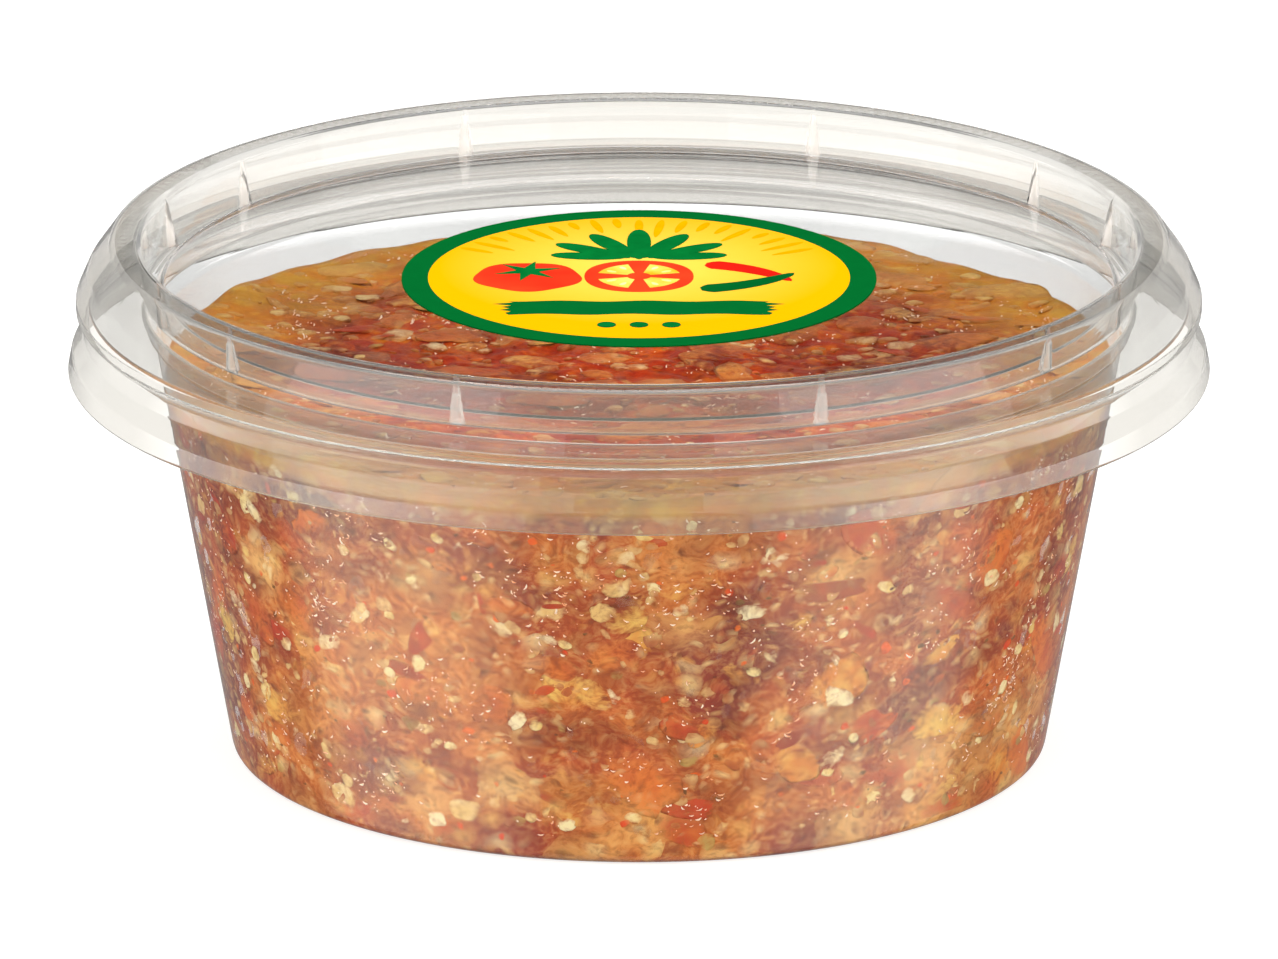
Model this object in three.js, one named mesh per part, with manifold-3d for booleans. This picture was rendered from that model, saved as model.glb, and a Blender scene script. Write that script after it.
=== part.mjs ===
// A shut, clear plastic tub of pico de gallo, built as the real one is: a tapered cup with a flanged rim,
// a press-on lid with a raised stacking ridge round its flat panel, a round paper label on that panel, and the
// chopped filling up to its level. Millimetres, +Z up. The origin is the centre of the foot ring's flat face.

import * as THREE from "three";
import { mergeVertices } from "three/addons/utils/BufferGeometryUtils.js";
import Module from "manifold-3d";

const wasm = await Module();
wasm.setup();

// Driving dimensions of the cup
const AROUND = 56; // flat sides that stand for each full circle
const CUP_SHEET = 0.5; // thickness of the cup's wall, base and flange
const FOOT_RADIUS = 33.0; // where the wall, carried down straight, meets the ground
const WALL_DRAFT = 0.179; // millimetres of radius for each millimetre of height
const BASE_LIFT = 0.6; // height of the base's underside over the foot ring
const FOOT_RING = 1.6; // width of the ring that the cup stands on
const STEP_HEIGHT = 34.5; // where the wall steps out below the mouth
const STEP_OUT = 0.65;
const STEP_RISE = 0.8;
const MOUTH_DRAFT = 0.2; // how much the mouth widens from the step to the flange
const FLANGE_RADIUS = 44.4;
const FLANGE_UNDERSIDE = 36.85;

// Driving dimensions of the lid
const LID_SHEET = 0.45;
const LID_TOP = 42.4;
const PANEL_TOP = 38.9;
const PANEL_RADIUS = 38.6;
const CHANNEL_DEPTH = 0.8; // the narrow ring channel between panel and ridge
const CHANNEL_WIDTH = 0.95;
const CHANNEL_DRAFT = 0.3;
const RIDGE_INNER = 40.2;
const RIDGE_OUTER = 42.65;
const SHOULDER_RADIUS = 44.6; // the slightly swelling slope between ridge and bead
const SHOULDER_HEIGHT = 39.7;
const BEAD_RADIUS = 45.5; // the upright band round the cup's flange
const BEAD_TOP = 37.6;
const BEAD_BOTTOM = 36.8;
const NECK_RADIUS = 44.6; // where the lid snaps in under the flange
const NECK_HEIGHT = 36.0;
const FLARE_TOP = 34.7; // the skirt widens from here
const FLARE_TOP_RADIUS = 44.95;
const FLARE_BOTTOM = 33.2;
const FLARE_BOTTOM_RADIUS = 45.9;
const SKIRT_RADIUS = 46.2;
const SKIRT_EDGE = 31.6;

// Stacking ribs stand inside the ridge, at these angles from the front and back, on both sides
const RIB_ANGLES = [21, 54, 73];
const RIB_FOOT_WIDTH = 1.15;
const RIB_TIP_WIDTH = 0.25;
const RIB_DEPTH = 0.7; // how far its foot stands out from the ridge's wall
const RIB_BELOW_TOP = 0.5;
const RIB_BITE = 0.2; // how far its back reaches into the wall, to be one with it

// The label and the filling
const LABEL_RADIUS = 19.2;
const LABEL_THICK = 0.15;
const LABEL_LIFT = 0.02; // the film of glue under it
const FILL_LEVEL = 31.0;
const FILL_GAP = 0.3; // between filling and cup
const CORE_AROUND = 60; // the pulp's bumps are as far apart as chopped pieces are long
const CORE_BANDS = 8;
const PULP_RELIEF = 0.6; // how deep the hollows between its bumps are
const EDGE_ROUND = 1.0; // how far the filling's upper edge is rounded off
const PIECE_KINDS = [
  { cover: "side", count: 18, shortest: 5.0, longest: 8.0, diced: false },
  { cover: "side", count: 32, shortest: 2.8, longest: 4.4, diced: true },
  { cover: "top", count: 14, shortest: 5.0, longest: 8.0, diced: false },
  { cover: "top", count: 22, shortest: 3.0, longest: 4.6, diced: true },
  { cover: "base", count: 9, shortest: 4.0, longest: 6.5, diced: true },
];

// Colours, roughness and clearness of the four things
const CLEAR_CUP = { color: 0xeef1f1, roughness: 0.06, transparent: true, opacity: 0.35 };
const CLEAR_LID = { color: 0xe9ebec, roughness: 0.05, transparent: true, opacity: 0.35 };
const LABEL_PAPER = { color: 0xf6cf16, roughness: 0.4 };
const SALSA = { color: 0xb9602f, roughness: 0.35 };

// A repeatable stream of numbers from 0 to 1.
function seededDraw(seed) {
  let state = seed;
  return () => {
    state = (state + 0x6d2b79f5) | 0;
    let mixed = Math.imul(state ^ (state >>> 15), 1 | state);
    mixed = (mixed + Math.imul(mixed ^ (mixed >>> 7), 61 | mixed)) ^ mixed;
    return ((mixed ^ (mixed >>> 14)) >>> 0) / 4294967296;
  };
}

// One corner of a sheet's section: radius from the axis, height, how far it is rounded and in how many steps.
function corner(radius, height, fillet = 0, steps = 2) {
  return { at: new THREE.Vector2(radius, height), fillet, steps };
}

const leftOf = (direction) => new THREE.Vector2(-direction.y, direction.x);

// The corners moved sideways by a thickness, to the left of the way they run, or right if it is negative.
function movedSideways(corners, thickness) {
  return corners.map(({ at, fillet, steps }, i) => {
    const before = corners[i - 1] ? at.clone().sub(corners[i - 1].at).normalize() : null;
    const after = corners[i + 1] ? corners[i + 1].at.clone().sub(at).normalize() : null;
    const inward = leftOf(before ?? after);
    const outward = leftOf(after ?? before);
    const mitre = inward.clone().add(outward).normalize();
    const reach = thickness / mitre.dot(inward);
    const turn = before && after ? Math.sign(before.cross(after)) : 0;
    const rounded = fillet ? Math.max(fillet - turn * thickness, 0.12) : 0;
    return { at: at.clone().addScaledVector(mitre, reach), fillet: rounded, steps };
  });
}

// The corners as a line of points, each rounded one drawn as an arc.
function roundedLine(corners) {
  return corners.flatMap(({ at, fillet, steps }, i) => {
    if (!fillet || !corners[i - 1] || !corners[i + 1]) return [at.clone()];
    const back = corners[i - 1].at.clone().sub(at);
    const ahead = corners[i + 1].at.clone().sub(at);
    const half = back.angleTo(ahead) / 2;
    const room = 0.45 * Math.min(back.length(), ahead.length());
    const cut = Math.min(fillet / Math.tan(half), room);
    const start = at.clone().addScaledVector(back.normalize(), cut);
    const end = at.clone().addScaledVector(ahead.normalize(), cut);
    const arc = new THREE.QuadraticBezierCurve(start, at, end);
    return arc.getPoints(steps);
  });
}

// A turned solid with its axis along Z, from a section that starts and ends on the axis.
function turned(section, around = AROUND) {
  return new THREE.LatheGeometry(section, around).rotateX(Math.PI / 2);
}

// The geometry with nothing but its corners, each stored once.
function merged(geometry) {
  return mergeVertices(geometry.clone().deleteAttribute("normal").deleteAttribute("uv"), 1e-4);
}

// A merged geometry as a solid that can be joined.
function solidFrom(geometry) {
  const index = geometry.index.array;
  const kept = [];
  for (let i = 0; i < index.length; i += 3) {
    const [a, b, c] = [index[i], index[i + 1], index[i + 2]];
    if (a !== b && b !== c && a !== c) kept.push(a, b, c);
  }
  return new wasm.Manifold(
    new wasm.Mesh({
      numProp: 3,
      vertProperties: geometry.attributes.position.array,
      triVerts: new Uint32Array(kept),
    }),
  );
}

function geometryFrom(solid) {
  const mesh = solid.getMesh();
  const geometry = new THREE.BufferGeometry();
  geometry.setAttribute("position", new THREE.BufferAttribute(mesh.vertProperties, 3));
  geometry.setIndex(new THREE.BufferAttribute(mesh.triVerts, 1));
  return geometry;
}

// The cup's outer corners, from the middle of its base to the edge of its flange.
function cupCorners() {
  const wallTop = FOOT_RADIUS + WALL_DRAFT * STEP_HEIGHT;
  const mouth = wallTop + STEP_OUT;
  const ringInner = FOOT_RADIUS - FOOT_RING;
  return [
    corner(0, BASE_LIFT),
    corner(ringInner - BASE_LIFT, BASE_LIFT),
    corner(ringInner, 0),
    corner(FOOT_RADIUS, 0, 0.9),
    corner(wallTop, STEP_HEIGHT),
    corner(mouth, STEP_HEIGHT + STEP_RISE),
    corner(mouth + MOUTH_DRAFT, FLANGE_UNDERSIDE, 0.5, 1),
    corner(FLANGE_RADIUS, FLANGE_UNDERSIDE),
  ];
}

function cup() {
  const outside = roundedLine(cupCorners());
  const inside = roundedLine(movedSideways(cupCorners(), CUP_SHEET));
  return turned([...outside, ...inside.reverse()]);
}

// The lid's upper corners, from the middle of its panel over the ridge to the edge of its skirt.
function lidCorners() {
  const channelInner = PANEL_RADIUS + CHANNEL_DRAFT;
  return [
    corner(0, PANEL_TOP),
    corner(PANEL_RADIUS, PANEL_TOP),
    corner(channelInner, PANEL_TOP - CHANNEL_DEPTH),
    corner(channelInner + CHANNEL_WIDTH, PANEL_TOP - CHANNEL_DEPTH, 0.3, 1),
    corner(RIDGE_INNER, LID_TOP, 0.7),
    corner(RIDGE_OUTER, LID_TOP, 0.7),
    corner(SHOULDER_RADIUS, SHOULDER_HEIGHT),
    corner(BEAD_RADIUS, BEAD_TOP),
    corner(BEAD_RADIUS, BEAD_BOTTOM),
    corner(NECK_RADIUS, NECK_HEIGHT),
    corner(FLARE_TOP_RADIUS, FLARE_TOP),
    corner(FLARE_BOTTOM_RADIUS, FLARE_BOTTOM),
    corner(SKIRT_RADIUS, SKIRT_EDGE),
  ];
}

// A stacking rib: a wedge on the ridge's inner wall, broad at its foot and narrow at the top.
function rib(angle) {
  const channel = PANEL_TOP - CHANNEL_DEPTH;
  const wallAtFoot = PANEL_RADIUS + CHANNEL_DRAFT + CHANNEL_WIDTH;
  const ends = {
    foot: { height: channel - RIB_BITE, width: RIB_FOOT_WIDTH, front: wallAtFoot - RIB_DEPTH },
    tip: { height: LID_TOP - RIB_BELOW_TOP, width: RIB_TIP_WIDTH, front: RIDGE_INNER - RIB_BITE },
  };
  const back = RIDGE_INNER + RIB_BITE;
  const wedge = new THREE.BoxGeometry(1, 1, 1);
  const place = wedge.attributes.position;
  for (let i = 0; i < place.count; i++) {
    const { height, width, front } = place.getZ(i) > 0 ? ends.tip : ends.foot;
    place.setXYZ(i, place.getX(i) * width, place.getY(i) > 0 ? back : front, height);
  }
  return merged(wedge.rotateZ(angle));
}

function lid() {
  const above = roundedLine(lidCorners());
  const below = roundedLine(movedSideways(lidCorners(), -LID_SHEET));
  let solid = solidFrom(merged(turned([...below, ...above.reverse()])));
  for (const degrees of RIB_ANGLES) {
    for (const angle of [degrees, -degrees, 180 - degrees, degrees - 180]) {
      solid = solid.add(solidFrom(rib(THREE.MathUtils.degToRad(angle))));
    }
  }
  return geometryFrom(solid);
}

function label() {
  const underside = PANEL_TOP + LABEL_LIFT;
  const face = underside + LABEL_THICK;
  return turned([
    new THREE.Vector2(0, underside),
    new THREE.Vector2(LABEL_RADIUS, underside),
    new THREE.Vector2(LABEL_RADIUS, face),
    new THREE.Vector2(0, face),
  ]);
}

const FILL_FLOOR = BASE_LIFT + CUP_SHEET + FILL_GAP;
const WALL_SLANT = Math.hypot(1, WALL_DRAFT);

// The furthest that the filling may reach from the axis at a height, just short of the cup's flat sides.
function fillReach(height) {
  const wall = FOOT_RADIUS + WALL_DRAFT * height - (CUP_SHEET + FILL_GAP) * WALL_SLANT;
  return wall * Math.cos(Math.PI / AROUND);
}

// The height of the filling's uneven top: low swells, and lower towards the rim.
function fillTop(x, y) {
  const SUNK = 0.4;
  const broad = 0.35 * Math.sin(0.21 * x + 1.3) * Math.cos(0.17 * y - 0.4);
  const narrow = 0.2 * Math.sin(0.43 * y + 0.19 * x);
  const rim = 0.5 * (Math.hypot(x, y) / fillReach(FILL_LEVEL)) ** 6;
  return FILL_LEVEL - SUNK + broad + narrow - rim;
}

// The core of pulp behind the larger pieces: a bumpy side, a swelling, bumpy top and a flatter base.
function fillCore(draw) {
  const RINGS_ON_TOP = [0.94, 0.84, 0.73, 0.6, 0.45, 0.25];
  const RING_UNDER = 0.6;
  const high = FILL_LEVEL - EDGE_ROUND;
  const section = [new THREE.Vector2(0, FILL_FLOOR)];
  section.push(new THREE.Vector2(fillReach(FILL_FLOOR) * RING_UNDER, FILL_FLOOR));
  for (let i = 0; i <= CORE_BANDS; i++) {
    const height = THREE.MathUtils.lerp(FILL_FLOOR, high, i / CORE_BANDS);
    section.push(new THREE.Vector2(fillReach(height), height));
  }
  for (const share of RINGS_ON_TOP) section.push(new THREE.Vector2(fillReach(high) * share, FILL_LEVEL));
  section.push(new THREE.Vector2(0, FILL_LEVEL));
  const core = merged(turned(section, CORE_AROUND));
  const place = core.attributes.position;
  for (let i = 0; i < place.count; i++) {
    const [x, y, z] = [place.getX(i), place.getY(i), place.getZ(i)];
    const hollow = PULP_RELIEF * draw();
    const dent = 1 - hollow / FOOT_RADIUS;
    const towardsRim = Math.hypot(x, y) / fillReach(high);
    if (z > high + EDGE_ROUND / 2) place.setZ(i, fillTop(x, y) - hollow * towardsRim ** 2);
    else if (z > FILL_FLOOR + EDGE_ROUND / 2) place.setXY(i, x * dent, y * dent);
    else place.setZ(i, FILL_FLOOR + hollow * towardsRim ** 2);
  }
  return core;
}

// One chopped piece of a given length, pulled out of shape: a ball of 20 faces, or a cut die.
function choppedPiece(draw, length, diced) {
  const PULL = 0.24;
  const blank = diced
    ? new THREE.BoxGeometry(0.75, 0.62, 0.5)
    : new THREE.IcosahedronGeometry(0.5, 0).scale(1, 0.8, 0.62);
  const piece = merged(blank);
  const place = piece.attributes.position;
  for (let i = 0; i < place.count; i++) {
    const [pullX, pullY, pullZ] = [draw(), draw(), draw()].map((share) => PULL * (share - 0.5));
    place.setXYZ(i, place.getX(i) + pullX, place.getY(i) + pullY, place.getZ(i) + pullZ);
  }
  return piece.scale(length, length, length);
}

// Where the pieces of one kind lie: an angle, and a share of the way over the face that they cover. Turns of
// the golden angle spread them evenly, and then each is jogged.
function scatter(draw, count) {
  const GOLDEN = Math.PI * (3 - Math.sqrt(5));
  const turn = draw() * Math.PI * 2;
  return Array.from({ length: count }, (_, i) => {
    const angle = turn + i * GOLDEN + 0.5 * (draw() - 0.5);
    const jogged = (i + 0.5) / count + (draw() - 0.5) / Math.sqrt(count);
    return { angle, share: THREE.MathUtils.clamp(jogged, 0.01, 0.99) };
  });
}

// Presses a piece flat where it would pass through the cup's wall or base.
function press(piece) {
  const place = piece.attributes.position;
  for (let i = 0; i < place.count; i++) {
    const height = Math.max(place.getZ(i), FILL_FLOOR);
    const shrink = Math.min(1, fillReach(height) / Math.hypot(place.getX(i), place.getY(i)));
    place.setXYZ(i, place.getX(i) * shrink, place.getY(i) * shrink, height);
  }
  return piece;
}

const PRESSED = 0.12; // the share of its length by which a piece is squeezed flat on the wall or base
const TILT = 0.5; // radians

function setOnSide(draw, piece, length, { angle, share }) {
  const BAND = 1.5; // how far its middle keeps from the filling's floor and level
  const height = THREE.MathUtils.lerp(FILL_FLOOR + BAND, FILL_LEVEL - BAND, share);
  piece.rotateZ(draw() * Math.PI * 2).rotateY(Math.PI / 2 + TILT * (draw() - 0.5));
  piece.computeBoundingBox();
  const radius = fillReach(height) + PRESSED * length - piece.boundingBox.max.x;
  return press(piece.translate(radius, 0, height).rotateZ(angle));
}

// Sets a piece on the top, proud of the pulp, or under the base, squeezed flat.
function setOnFlat(draw, piece, length, { angle, share }, onTop) {
  const PROUD = 0.1 * length + 0.1;
  const RIM = 2.6; // how far its middle keeps from the wall
  piece.rotateX(TILT * (draw() - 0.5)).rotateZ(draw() * Math.PI * 2);
  piece.computeBoundingBox();
  const { min, max } = piece.boundingBox;
  const radius = Math.sqrt(share) * (fillReach(onTop ? FILL_LEVEL : FILL_FLOOR) - RIM);
  const [x, y] = [radius * Math.cos(angle), radius * Math.sin(angle)];
  const lift = onTop ? fillTop(x, y) + PROUD - max.z : FILL_FLOOR - PRESSED * length - min.z;
  return press(piece.translate(x, y, lift));
}

// The filling: the core with its larger pieces fused on. What a piece shuts in or cuts loose is dropped.
function filling() {
  const draw = seededDraw(120);
  let solid = solidFrom(fillCore(draw));
  for (const { cover, count, shortest, longest, diced } of PIECE_KINDS) {
    const settle = cover === "side" ? setOnSide : setOnFlat;
    for (const spot of scatter(draw, count)) {
      const length = THREE.MathUtils.lerp(shortest, longest, draw());
      const piece = choppedPiece(draw, length, diced);
      solid = solid.add(solidFrom(settle(draw, piece, length, spot, cover === "top")));
    }
  }
  const [largest] = solid.decompose().sort((a, b) => b.volume() - a.volume());
  return geometryFrom(largest);
}

function meshOf(name, geometry, finish) {
  const mesh = new THREE.Mesh(geometry, new THREE.MeshStandardMaterial({ metalness: 0, ...finish }));
  mesh.name = name;
  return mesh;
}

const tub = new THREE.Group();
tub.add(meshOf("cup", cup(), CLEAR_CUP));
tub.add(meshOf("lid", lid(), CLEAR_LID));
tub.add(meshOf("label", label(), LABEL_PAPER));
tub.add(meshOf("pico_de_gallo", filling(), SALSA));

export default tub;
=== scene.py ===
"""Looks for a shut, clear tub of pico de gallo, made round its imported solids.

The clear cup, the clear lid, the printed label and the chopped filling each have their settings and their
operators, and a panel lists them. Sizes are in metres. The tub stands on z = 0, with its axis on the origin.
"""

import math
from typing import NamedTuple

import bmesh
import bpy
import numpy as np
from bpy.props import EnumProperty, FloatProperty, FloatVectorProperty, IntProperty, PointerProperty
from bpy.types import Operator, Panel, PropertyGroup
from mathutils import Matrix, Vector


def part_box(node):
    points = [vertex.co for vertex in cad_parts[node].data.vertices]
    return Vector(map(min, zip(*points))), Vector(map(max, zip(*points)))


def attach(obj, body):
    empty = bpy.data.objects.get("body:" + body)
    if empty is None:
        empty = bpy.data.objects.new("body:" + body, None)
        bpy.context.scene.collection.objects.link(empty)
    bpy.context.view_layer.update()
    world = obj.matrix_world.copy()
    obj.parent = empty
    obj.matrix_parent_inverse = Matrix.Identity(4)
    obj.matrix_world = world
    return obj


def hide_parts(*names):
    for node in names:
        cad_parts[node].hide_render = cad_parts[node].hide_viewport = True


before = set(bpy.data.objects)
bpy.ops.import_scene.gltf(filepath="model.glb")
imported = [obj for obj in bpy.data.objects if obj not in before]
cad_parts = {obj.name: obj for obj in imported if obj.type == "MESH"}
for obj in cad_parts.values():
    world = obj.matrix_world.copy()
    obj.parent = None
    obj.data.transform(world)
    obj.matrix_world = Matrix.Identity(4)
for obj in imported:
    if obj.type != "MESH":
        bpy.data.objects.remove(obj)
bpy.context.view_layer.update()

bl_info = {
    "name": "Pico de gallo tub",
    "version": (1, 0, 0),
    "blender": (4, 5, 0),
    "location": "3D View > Sidebar > Tub",
    "description": "Makes a clear tub of chopped tomato salsa with its lid and label",
    "category": "Object",
}

MM = 0.001
BODY = "root"
CUP_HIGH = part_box("cup")[1]
LID_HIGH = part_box("lid")[1]
LABEL_LOW, LABEL_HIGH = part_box("label")


# Settings

def size(label, note, default):
    """A length that the user can change."""
    return FloatProperty(name=label, description=note, default=default, unit="LENGTH", precision=5)


def share(label, note, default):
    """A number without a unit, such as a ratio."""
    return FloatProperty(name=label, description=note, default=default)


def power(label, note, default):
    """The power of a lamp."""
    return FloatProperty(name=label, description=note, default=default, unit="POWER", precision=4)


def linear(red, green, blue):
    """A colour read from a screen, 0 to 255, as the light that it stands for."""
    parts = [value / 255 for value in (red, green, blue)]
    return [part / 12.92 if part <= 0.04045 else ((part + 0.055) / 1.055) ** 2.4 for part in parts]


def colour(label, note, red, green, blue):
    """A colour that the user can change, given as it looks on a screen."""
    shade = linear(red, green, blue)
    return FloatVectorProperty(name=label, description=note, default=shade, subtype="COLOR", min=0, max=1)


class CupSettings(PropertyGroup):
    """The tapered clear cup."""

    sheet: size("Sheet", "Thickness of the plastic", 0.3 * MM)
    foot: size("Foot radius", "Where the wall, carried down straight, meets the ground", 33.0 * MM)
    draft: share("Draft", "Metres of radius that the wall gains for each metre of height", 0.179)
    base_lift: size("Base lift", "Height of the base over the foot ring", 0.6 * MM)
    foot_ring: size("Foot ring", "Width of the ring that the cup stands on", 1.6 * MM)
    step_height: size("Step height", "Where the wall steps out below the mouth", 34.5 * MM)
    step_out: size("Step", "How far the wall steps out", 0.65 * MM)
    step_rise: size("Step rise", "Height of the step", 0.8 * MM)
    flange: size("Flange radius", "Edge of the rim that the lid grips", CUP_HIGH.x)
    mouth: size("Mouth height", "Top of the flange", CUP_HIGH.z)
    tint: colour("Tint", "What the plastic leaves of white light", 243, 244, 244)


class LidSettings(PropertyGroup):
    """The clear lid that is pressed over the cup's flange."""

    sheet: size("Sheet", "Thickness of the plastic", 0.25 * MM)
    top: size("Top", "Height of the stacking ridge", LID_HIGH.z)
    panel: size("Panel height", "Height of the sunk panel's face", 38.9 * MM)
    panel_radius: size("Panel radius", "Edge of the flat panel", 38.6 * MM)
    channel_depth: size("Channel depth", "Depth of the ring channel round the panel", 0.8 * MM)
    channel_width: size("Channel width", "Width of the ring channel", 0.95 * MM)
    ridge_inner: size("Ridge, inner", "Inner radius of the stacking ridge", 40.2 * MM)
    ridge_outer: size("Ridge, outer", "Outer radius of the stacking ridge", 42.65 * MM)
    shoulder: size("Shoulder radius", "The slope swells out to here", 44.6 * MM)
    shoulder_height: size("Shoulder height", "Height of that swelling", 39.7 * MM)
    bead: size("Bead radius", "The upright band round the cup's flange", 45.5 * MM)
    bead_top: size("Bead top", "Upper edge of the band", 37.6 * MM)
    bead_bottom: size("Bead bottom", "Lower edge of the band", 36.8 * MM)
    neck: size("Neck radius", "Where the lid grips under the flange", 44.6 * MM)
    neck_height: size("Neck height", "Height of the neck", 36.0 * MM)
    flare_top: size("Flare top", "The skirt widens from here", 34.7 * MM)
    flare_bottom: size("Flare bottom", "The skirt is nearly upright below here", 33.2 * MM)
    skirt: size("Skirt radius", "The lid's widest edge", LID_HIGH.x)
    skirt_edge: size("Skirt edge", "Height of the skirt's lower edge", 31.6 * MM)
    tint: colour("Tint", "What the panel's plastic leaves of white light", 247, 247, 247)
    # Painted shade: the edge, slope and skirt tints make those parts greyer than the panel; the skirt's
    # milkiness is a painted veil.
    edge_shade_tint: colour("Edge tint", "What the more worked plastic round it leaves", 241, 241, 240)
    slope_shade_tint: colour("Slope tint", "What the outer slope's plastic leaves", 228, 226, 222)
    skirt_shade_tint: colour("Skirt tint", "What the skirt's milky plastic leaves", 212, 210, 205)
    # Painted reflection: the ribs' pale, milky look stands in for what they mirror.
    rib_sheen_tint: colour("Rib tint", "What the whitened plastic of the ribs leaves", 246, 243, 240)


class LabelSettings(PropertyGroup):
    """The round label with its generic print."""

    radius: size("Radius", "The label's edge", LABEL_HIGH.x)
    rim: size("Rim", "Width of the green rim", 2.15 * MM)
    green: colour("Green", "Rim, band and leaves", 3, 90, 37)
    yellow: colour("Yellow", "The field's lower part", 232, 159, 2)
    pale: colour("Pale yellow", "The glow in the field's middle", 232, 194, 81)
    glow_rise: size("Glow", "How far behind the middle the field's glow lies", 3 * MM)
    orange: colour("Orange", "The field's upper edge and its brush strokes", 228, 152, 0)
    red: colour("Red", "The tomatoes and the chilli", 196, 28, 18)


class FillingSettings(PropertyGroup):
    """The pulp that fills the cup."""

    level: size("Level", "Height of the filling's top", 31.5 * MM)
    press: size("Press", "How far the pulp reaches into the wall, so that no air shows", 0.03 * MM)
    hollow: size("Hollows", "Depth of the shallow hollows behind the wall", 0.1 * MM)
    relief: size("Relief", "Height of the lumps on the open top", 0.14 * MM)
    mauve: colour("Mauve", "The darkest pulp", 152, 74, 54)
    rust: colour("Rust", "Red-brown pulp", 184, 84, 38)
    amber: colour("Amber", "Orange-brown pulp", 210, 118, 50)
    straw: colour("Straw", "The palest pulp", 232, 164, 88)
    # Juice and gold: partly the juice's own colours, partly painted shade in the middle and painted light by
    # the wall. The brim is painted light on the open top's pulp by the wall.
    juice: colour("Juice", "What the juice on the middle of the top leaves of the light", 255, 176, 60)
    dark_juice: colour("Dark juice", "What it leaves where it is thicker", 226, 108, 36)
    gold: colour("Gold", "What the paler juice near the wall leaves of the light", 255, 250, 172)
    dark_gold: colour("Dark gold", "What it leaves where it is thicker", 255, 222, 140)
    brim: colour("Brim", "The pale pulp by the wall, on the open top", 255, 206, 112)


class StageSettings(PropertyGroup):
    """Camera, floor and lights."""

    lens: FloatProperty(name="Lens", description="Focal length in millimetres", default=563.0)
    distance: size("Distance", "From the camera to the tub's axis", 1.62)
    pitch: FloatProperty(
        name="Pitch", description="How far the camera looks down", default=math.radians(17.2), subtype="ANGLE"
    )
    aim: size("Aim", "Height that the camera looks at", 21.95 * MM)
    floor: size("Floor", "Half the floor's side", 6.0)
    glow: share("Table light", "How brightly the floor shines by itself, like a light table", 0.69)
    back_glow: share("Light behind", "How brightly a bow of it shines behind the tub", 1.6)
    cards: share("Cards", "How brightly the low cards on either side shine, which the wall mirrors", 4.3)
    belt: share("Belt", "How brightly the low strip in front shines, which the lid mirrors", 1.3)
    strips: share("Side strips", "How brightly the strips on either side shine, which the lid mirrors", 4.3)
    overhead: power("Overhead", "Power of the large lamp over the tub", 10.0)
    softbox: power("Softboxes", "Power of the softbox in front on either side", 4.15)
    under_label: power("Under label", "Power of the small lamp that lights the salsa under the label", 0.005)


class Kind(NamedTuple):
    """What sets one kind of chopped piece apart."""

    spread: tuple  # how many lie on the side, the top and the base
    length: tuple  # the shortest and the longest, in millimetres
    width: float  # as a share of the length
    thick: float  # as a share of the length
    blocky: tuple  # the roundest and the squarest, where 2 is round
    fineness: int  # how finely they are modelled
    soft: float  # how many millimetres out of the pulp an edge shows clearly
    sink: tuple  # how deep they sit, as shares of half their thickness
    clear: float  # how clearly they show at most
    pale: tuple  # their palest colour
    deep: tuple  # their deepest colour


KINDS = {
    "tomato_flesh": Kind(
        (150, 60, 20), (2.8, 9.0), 0.55, 0.34, (2.0, 3.0), 3, 1.0, (0.3, 0.85), 0.85,
        (232, 128, 50), (190, 56, 26),
    ),
    "golden_pepper": Kind(
        (110, 100, 20), (2.4, 7.0), 0.52, 0.34, (2.0, 3.4), 3, 0.9, (0.3, 0.85), 0.8,
        (246, 206, 106), (230, 142, 50),
    ),
    "onion": Kind(
        (340, 160, 25), (0.9, 3.0), 0.66, 0.5, (2.2, 4.0), 3, 0.4, (0.15, 0.85), 0.92,
        (252, 238, 190), (238, 200, 126),
    ),
    "pulp_bits": Kind(
        (1350, 640, 80), (0.6, 2.0), 0.66, 0.55, (2.0, 3.4), 2, 0.26, (0.2, 0.85), 0.85,
        (248, 216, 144), (172, 84, 40),
    ),
    "red_skins": Kind(
        (70, 40, 8), (2.2, 7.0), 0.24, 0.2, (2.0, 2.6), 3, 0.3, (0.1, 0.7), 0.8,
        (206, 62, 26), (146, 36, 20),
    ),
    "chilli_flecks": Kind(
        (200, 90, 20), (0.55, 1.3), 0.7, 0.7, (2.0, 4.0), 2, 0.18, (0.0, 0.6), 0.9,
        (250, 120, 34), (228, 64, 18),
    ),
    "seeds": Kind(
        (100, 50, 10), (1.2, 2.0), 0.84, 0.55, (2.0, 2.2), 2, 0.26, (0.0, 0.5), 0.95,
        (254, 240, 184), (240, 206, 122),
    ),
    "herb_specks": Kind(
        (420, 130, 30), (0.3, 1.2), 0.5, 0.6, (2.0, 4.0), 1, 0.15, (0.0, 0.6), 0.75,
        (124, 94, 46), (68, 46, 24),
    ),
    "green_bits": Kind(
        (80, 30, 8), (0.9, 2.8), 0.6, 0.5, (2.0, 4.0), 2, 0.3, (0.2, 0.8), 0.75,
        (206, 178, 98), (144, 120, 58),
    ),
}


# Making meshes

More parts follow.
